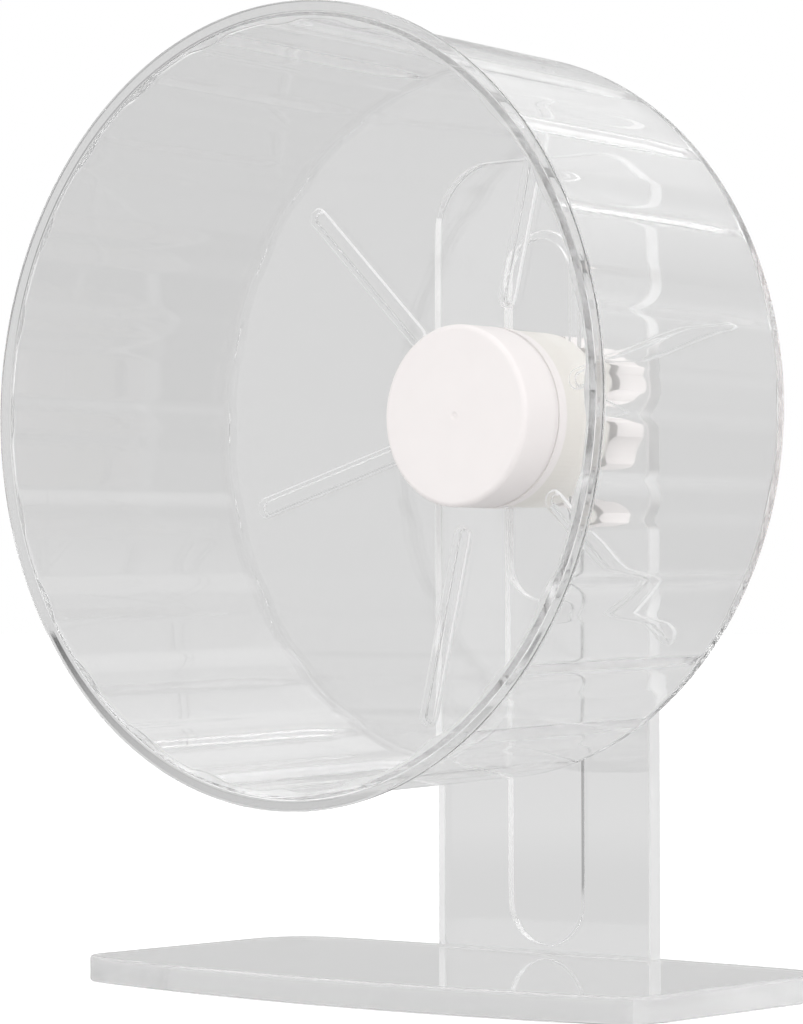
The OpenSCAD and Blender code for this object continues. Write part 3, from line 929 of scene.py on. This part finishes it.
@dataclass
class Base:
    """Clear base plate with a bowed front and back, rounded corners and ground, rounded edges."""

    front_bow: float = 11.0
    back_bow: float = 4.0
    front_corner_r: float = 10.0
    back_corner_r: float = 18.0
    bevel: float = 0.9
    bevel_steps: int = 6
    corner_steps: int = 12
    bow_steps: int = 60
    row_gap: float = 0.4

    def bowed_edge(self, half: float, reach: float, bow: float, corner: float) -> np.ndarray:
        """One bowed edge: a circle through its middle and its ends, and corner arcs that touch it and the sides.

        Args:
            half: Half the plate's width.
            reach: Distance of the edge's middle from the plate's middle.
            bow: How far the middle stands out past the ends.
            corner: Radius of the corners.

        Returns:
            Points from the left side to the right side.
        """
        radius = (half ** 2 + bow ** 2) / (2 * bow)
        centre = radius - reach
        corner_y = centre - math.sqrt((radius - corner) ** 2 - (half - corner) ** 2)
        lean = math.degrees(math.asin((half - corner) / (radius - corner)))
        left = arc((corner - half, corner_y), corner, 180, 270 - lean, self.corner_steps)
        middle = arc((0, centre), radius, 270 - lean, 270 + lean, self.bow_steps)[1:-1]
        right = arc((half - corner, corner_y), corner, 270 + lean, 360, self.corner_steps)
        return np.concatenate([left, middle, right])

    def build(self) -> bpy.types.Object:
        """Stacks the outline, pulled in along its normals to round the edges, and closes it with two flat faces.

        Returns:
            The base, with a finish for each face.
        """
        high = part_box("base")[1]
        half, reach, top = high.x / MM, high.y / MM, high.z / MM
        outline = np.concatenate([self.bowed_edge(half, reach, self.front_bow, self.front_corner_r),
                                  -self.bowed_edge(half, reach, self.back_bow, self.back_corner_r)])
        along = np.roll(outline, -1, axis=0) - np.roll(outline, 1, axis=0)
        inward = np.stack([-along[:, 1], along[:, 0]], axis=-1) / np.linalg.norm(along, axis=1, keepdims=True)
        turn = np.radians(np.linspace(0, 90, self.bevel_steps))
        inset = self.bevel * (1 - np.sin(turn))
        lift = self.bevel * (1 - np.cos(turn))
        beside = [self.bevel + self.row_gap]
        inset = np.concatenate([beside, inset, inset[::-1], beside])
        height = np.concatenate([[0], lift, top - lift[::-1], [top]])
        flat = outline[None] + inward[None] * inset[:, None, None]
        points = np.concatenate([flat, np.broadcast_to(height[:, None, None], flat.shape[:2] + (1,))], axis=-1)
        faces = loop_faces(len(height), len(outline), False).tolist()
        edge = np.arange(len(faces)) // len(outline)
        ring = np.arange(len(outline))
        faces += [ring[::-1].tolist(), (ring + (len(height) - 1) * len(outline)).tolist()]
        ground = np.append((edge > 0) & (edge < len(height) - 2), [False, False])
        return put_mesh("base_plate", points.reshape(-1, 3), faces, finish=ground)

    def dress(self, clear: bpy.types.Material, ground: bpy.types.Material) -> None:
        """Builds the base and dresses it in clear plastic, with a ground edge all round."""
        dress(self.build(), clear, Body.STAND, Slot.CLEAR_PLATE, "base").data.materials.append(ground)


class Hardware:
    """CAD pieces whose shapes are right as packed: they get better materials only."""

    def __init__(self, white: bpy.types.Material, cream: bpy.types.Material) -> None:
        """Makes the metals and the nylon, and lists which piece takes which.

        Args:
            white: Finish of the hub shell and the knob.
            cream: Finish of the stand-off.
        """
        steel = TurnedMetal("bearing steel, ground", "#C3C5C8", "#9EA1A6").material()
        bright = TurnedMetal("bearing steel, polished balls", "#DADCDE", "#C4C7CA", 2.0, 0.16).material()
        pressed = TurnedMetal("steel sheet, pressed shields", "#C9CBCD", "#ABAEB2", 1.2, 0.32).material()
        zinc = TurnedMetal("steel, zinc plated", "#C7CBD0", "#A6ABB3", 0.8, 0.34).material()
        shaft = TurnedMetal("steel, turned and ground axle", "#B8BBC0", "#93979D", 0.3, 0.26).material()
        spring = TurnedMetal("spring steel, blackened", "#55585C", "#3C3F42", 0.7, 0.4).material()
        brass = TurnedMetal("brass, turned insert", "#D2AE62", "#A98238", 0.4, 0.3).material()
        nylon = MouldedPlastic("nylon, natural moulded cage", "#E2D3AB", "#CDBB8C", 0.8).material()
        self.dressing = {
            "hub_shell": white, "clamp_knob": white, "standoff": cream, "hub_screws": zinc, "axle_nut": zinc,
            "clamp_washer": zinc, "axle": shaft, "retaining_ring": spring, "knob_insert": brass,
            "bearing_spacer": steel}
        for end in ("front", "rear"):
            self.dressing |= {
                f"{end}_bearing_outer_race": steel, f"{end}_bearing_inner_race": steel,
                f"{end}_bearing_balls": bright, f"{end}_bearing_cage": nylon, f"{end}_bearing_shields": pressed}

    def dress(self) -> None:
        """Swaps the plain material of each listed CAD node for its real finish."""
        for name, material in self.dressing.items():
            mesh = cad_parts[name].data
            mesh.materials.clear()
            mesh.materials.append(material)
            LOG.info("%s: %s", name, material.name)


# Studio


@dataclass(frozen=True)
class SoftBox:
    """Square soft box that is aimed at the wheel's hub.

    Attributes:
        name: Name of the lamp.
        place_m: Its place in metres.
        size_m: Side of the square.
        watts: Its power.
        mirrored: Whether plastic and metal mirror it.
    """

    name: str
    place_m: tuple[float, float, float]
    size_m: float
    watts: float
    mirrored: bool = False

    def build(self) -> None:
        """Adds the lamp to the scene."""
        data = bpy.data.lights.new(self.name, "AREA")
        data.shape, data.size, data.energy = "SQUARE", self.size_m, self.watts
        lamp = bpy.data.objects.new(self.name, data)
        aim = Vector((0, 0, axis_height() * MM)) - Vector(self.place_m)
        lamp.rotation_mode = "QUATERNION"
        lamp.rotation_quaternion = aim.to_track_quat("-Z", "Y")
        lamp.location = self.place_m
        # The clear walls mirror the pale room; a mirrored soft box would put hard white squares on them.
        lamp.visible_glossy = lamp.visible_transmission = self.mirrored
        bpy.context.scene.collection.objects.link(lamp)


@dataclass
class Studio:
    """White sweep with soft light, and the camera that stands where the photograph was taken from.

    Plastic and metal see a pale room of strength back in place of the sweep. It gains top overhead, fore in
    front and window at the front left, and loses gap in a strip at the right rear. A way is a direction in the
    room, cosines and sines say how far from it a change begins and where it is full, and reaches say the same
    for distances on the floor.
    """

    camera_mm: tuple[float, float, float] = (679.0, -811.04, 102.7)
    azimuth_deg: float = 40.5
    elevation_deg: float = -1.448
    roll_deg: float = -0.144
    focal_px: float = 3903.0
    image_px: tuple[int, int] = (803, 1024)
    sensor_mm: float = 36.0
    clip_m: tuple[float, float] = (0.01, 100.0)
    back: float = 0.63
    top: float = 0.51
    top_cosines: tuple[float, float] = (0.36, 0.58)
    fore: float = 0.3
    fore_cosines: tuple[float, float] = (-0.1, 0.7)
    window: float = 0.65
    window_way: tuple[float, float, float] = (-0.65, -0.76, 0.0)
    window_cosines: tuple[float, float] = (0.6, 0.92)
    window_reach_m: tuple[float, float] = (0.3, 0.8)
    gap: float = 0.3
    gap_way: tuple[float, float, float] = (0.65, 0.76, 0.0)
    gap_cosines: tuple[float, float] = (0.86, 0.97)
    gap_sines: tuple[float, float] = (-0.07, -0.025)
    gap_reach_m: tuple[float, float] = (0.14, 0.3)
    floor_side_m: float = 12.0
    floor_drop_m: float = 0.0002
    floor_paint: tuple[float, float, float, float] = (0.8, 0.8, 0.8, 1.0)
    floor_rough: float = 0.9
    floor_near: float = 0.68
    floor_reach_m: tuple[float, float] = (0.4, 4.0)
    floor_glow: float = 0.4
    bounces: int = 48
    lamps: tuple[SoftBox, ...] = (
        SoftBox("key_softbox", (-0.9, -1.6, 1.2), 1.2, 0.8),
        SoftBox("fill_softbox", (2.0, -0.3, 0.9), 1.2, 16),
        SoftBox("top_softbox", (0.1, -1.1, 2.0), 0.4, 1.8, True))

    def camera(self) -> None:
        """Places the camera: its view direction, right and up from azimuth, elevation and roll."""
        az, el, roll = (math.radians(a) for a in (self.azimuth_deg, self.elevation_deg, self.roll_deg))
        ahead = np.array([-math.sin(az) * math.cos(el), math.cos(az) * math.cos(el), -math.sin(el)])
        right = np.array([math.cos(az), math.sin(az), 0])
        up = np.cross(right, ahead)
        right, up = (math.cos(roll) * right + math.sin(roll) * up, -math.sin(roll) * right + math.cos(roll) * up)
        data = bpy.data.cameras.new("camera")
        data.sensor_width = self.sensor_mm
        data.lens = self.focal_px / max(self.image_px) * data.sensor_width
        data.clip_start, data.clip_end = self.clip_m
        turn = Matrix(np.stack([right, up, -ahead], axis=-1).tolist()).to_4x4()
        camera = bpy.data.objects.new("camera", data)
        camera.matrix_world = Matrix.Translation(np.array(self.camera_mm) * MM) @ turn
        bpy.context.scene.collection.objects.link(camera)
        bpy.context.scene.camera = camera

    def world(self) -> None:
        """White to the camera, and to all else the pale room.

        Strength = back + max(top up, fore front, window left) - gap aside low, where up, front, left and aside
        rise smoothly from 0 to 1 as the ray turns upwards, to the front, to the front left and to the right
        rear, and low falls from 1 to 0 just above the horizon.
        """
        world = bpy.data.worlds.new("white studio")
        bpy.context.scene.world = world
        world.use_nodes = True
        tree = world.node_tree
        tree.nodes.clear()
        direction = add_node(tree, "ShaderNodeTexCoord").outputs["Generated"]
        gains = [add_node(tree, "ShaderNodeMath", {0: rise(tree, direction, way, *cosines), 1: gain},
                          operation="MULTIPLY").outputs[0]
                 for way, cosines, gain in (((0, 0, 1), self.top_cosines, self.top),
                                            ((0, -1, 0), self.fore_cosines, self.fore),
                                            (self.window_way, self.window_cosines, self.window))]
        lift = gains[0]
        for gain in gains[1:]:
            lift = add_node(tree, "ShaderNodeMath", {0: lift, 1: gain}, operation="MAXIMUM").outputs[0]
        lift = add_node(tree, "ShaderNodeMath", {0: lift, 1: self.back}, operation="ADD").outputs[0]
        low = rise(tree, direction, (0, 0, -1), *self.gap_sines)
        aside = rise(tree, direction, self.gap_way, *self.gap_cosines)
        aside = add_node(tree, "ShaderNodeMath", {0: aside, 1: low}, operation="MULTIPLY").outputs[0]
        level = add_node(tree, "ShaderNodeMath", {0: aside, 1: -self.gap, 2: lift},
                         operation="MULTIPLY_ADD").outputs[0]
        room = add_node(tree, "ShaderNodeBackground", {"Color": (1, 1, 1, 1), "Strength": level})
        white = add_node(tree, "ShaderNodeBackground", {"Color": (1, 1, 1, 1), "Strength": 1.0})
        path = add_node(tree, "ShaderNodeLightPath")
        seen = add_node(tree, "ShaderNodeMixShader", {0: path.outputs["Is Camera Ray"], 1: room.outputs[0],
                                                      2: white.outputs[0]})
        add_node(tree, "ShaderNodeOutputWorld", {"Surface": seen.outputs[0]})

    def floor(self) -> None:
        """Pale floor: white with the object's shadow to the camera, and the room's floor to plastic and metal.

        The room's floor goes from its near strength to the room's with distance, gains window towards the front
        left and loses gap towards the right rear, each from some distance on, so that the base stays even.
        """
        mesh = bpy.data.meshes.new("studio_floor")
        side = self.floor_side_m
        mesh.from_pydata([(-side, -side, 0), (side, -side, 0), (side, side, 0), (-side, side, 0)], [],
                         [(0, 1, 2, 3)])
        floor = bpy.data.objects.new("studio_floor", mesh)
        bpy.context.scene.collection.objects.link(floor)
        floor.location.z = -self.floor_drop_m
        material, tree, place = new_material("painted studio floor")
        path = add_node(tree, "ShaderNodeLightPath")
        glow = add_node(tree, "ShaderNodeMath", {0: path.outputs["Is Camera Ray"], 1: self.floor_glow},
                        operation="MULTIPLY").outputs[0]
        paint = add_node(tree, "ShaderNodeBsdfPrincipled",
                         {"Base Color": self.floor_paint, "Roughness": self.floor_rough,
                          "Emission Color": (1, 1, 1, 1), "Emission Strength": glow})
        reach = add_node(tree, "ShaderNodeVectorMath", {0: place}, operation="LENGTH").outputs["Value"]
        near, far = self.floor_reach_m
        level = add_node(tree, "ShaderNodeMapRange", {"Value": reach, "From Min": near, "From Max": far,
                                                      "To Min": self.floor_near, "To Max": self.back}).outputs[0]
        away = add_node(tree, "ShaderNodeVectorMath", {0: place}, operation="NORMALIZE").outputs["Vector"]
        for way, cosines, (near, far), gain in (
                (self.window_way, self.window_cosines, self.window_reach_m, self.window),
                (self.gap_way, self.gap_cosines, self.gap_reach_m, -self.gap)):
            beyond = add_node(tree, "ShaderNodeMapRange", {"Value": reach, "From Min": near, "From Max": far},
                              interpolation_type="SMOOTHSTEP").outputs[0]
            share = add_node(tree, "ShaderNodeMath", {0: rise(tree, away, way, *cosines), 1: beyond},
                             operation="MULTIPLY").outputs[0]
            level = add_node(tree, "ShaderNodeMath", {0: share, 1: gain, 2: level},
                             operation="MULTIPLY_ADD").outputs[0]
        sweep = add_node(tree, "ShaderNodeEmission", {"Color": (1, 1, 1, 1), "Strength": level})
        mirrored = add_node(tree, "ShaderNodeMath", {0: path.outputs["Is Glossy Ray"],
                                                     1: path.outputs["Is Transmission Ray"]},
                            operation="MAXIMUM").outputs[0]
        close_material(tree, add_node(tree, "ShaderNodeMixShader", {0: mirrored, 1: paint.outputs[0],
                                                                    2: sweep.outputs[0]}))
        mesh.materials.append(material)

    def build(self) -> None:
        """Sets up camera, world, floor and soft boxes."""
        scene = bpy.context.scene
        scene.view_settings.view_transform = "Standard"
        # Light that is caught inside a clear edge needs many bounces to leave it, and goes black without them.
        scene.cycles.max_bounces = scene.cycles.transmission_bounces = scene.cycles.glossy_bounces = self.bounces
        scene.cycles.transparent_max_bounces = self.bounces
        self.camera()
        self.world()
        self.floor()
        for lamp in self.lamps:
            lamp.build()


def main() -> None:
    """Builds the wheel, the stand and the studio."""
    logging.basicConfig(level=logging.INFO, format="%(message)s")
    # The moulding is glassy, and darkens where the eye looks along its thickness, as in the rim.
    moulded = ClearAcrylic("acrylic, clear moulded drum", "#FEFEFE", flow_mm=30, flow_depth_mm=0.02,
                           frost=0.02, absorb_per_m=0.9).material()
    # The ribs' slopes are frosted white: painted highlights that show as soft white lines.
    rib_painted_highlight = ClearAcrylic("acrylic, clear moulding, worn edge", "#FEFEFE", flow_mm=3, flow_depth_mm=0.02,
                        roughness=0.3, frost=0.6).material()
    # Cast sheet is flatter than the moulding, so what is seen through it hardly bends.
    cast = ClearAcrylic("acrylic, clear cast sheet", "#FEFEFE", flow_mm=45, flow_depth_mm=0.015).material()
    # A frosted strip scatters light and keeps the mouth's inner edge pale: a painted highlight.
    mouth_painted_highlight = ClearAcrylic("acrylic, clear moulding, trimmed edge", "#FAFAFA", flow_mm=3, flow_depth_mm=0.02,
                           roughness=0.2, frost=0.35).material()
    # A grey tint and a little frost make the rim's front a little grey: painted shade.
    rim_painted_shade = ClearAcrylic("acrylic, clear moulding, handled rim", "#F7F7F7", flow_mm=30, flow_depth_mm=0.02,
                           roughness=0.03, frost=0.04).material()
    # The left edge is frosted white as painted light and the other edges less as painted shade, so that the left
    # edge reads pale and the fill lamp doesn't make the others too bright. Grinding leaves the base's edge nearly
    # clear.
    edges_painted_shade = ClearAcrylic("acrylic, clear sheet, scraped edge", "#FCFCFC", flow_mm=3, flow_depth_mm=0.02,
                           roughness=0.3, frost=0.4).material()
    left_edge_painted_light = ClearAcrylic("acrylic, clear sheet, sawn edge", "#F6F6F6", flow_mm=3, flow_depth_mm=0.02,
                        roughness=0.4, frost=1.0).material()
    ground = ClearAcrylic("acrylic, clear sheet, ground edge", "#FCFCFC", flow_mm=4, flow_depth_mm=0.02,
                          roughness=0.2, frost=0.16).material()
    # Satin mouldings show one even colour and a soft highlight.
    white = MouldedPlastic("ABS, white moulded satin", "#F2EDEC", "#EEE9E8").material()
    cream = MouldedPlastic("ABS, cream moulded satin", "#E8E5E0", "#E2DED7").material()
    Studio().build()
    Drum().dress(moulded, rib_painted_highlight, mouth_painted_highlight, rim_painted_shade)
    HubCap().dress(white)
    Upright().dress(cast, left_edge_painted_light, edges_painted_shade)
    Base().dress(cast, ground)
    Hardware(white, cream).dress()


if __name__ == "__main__":
    main()
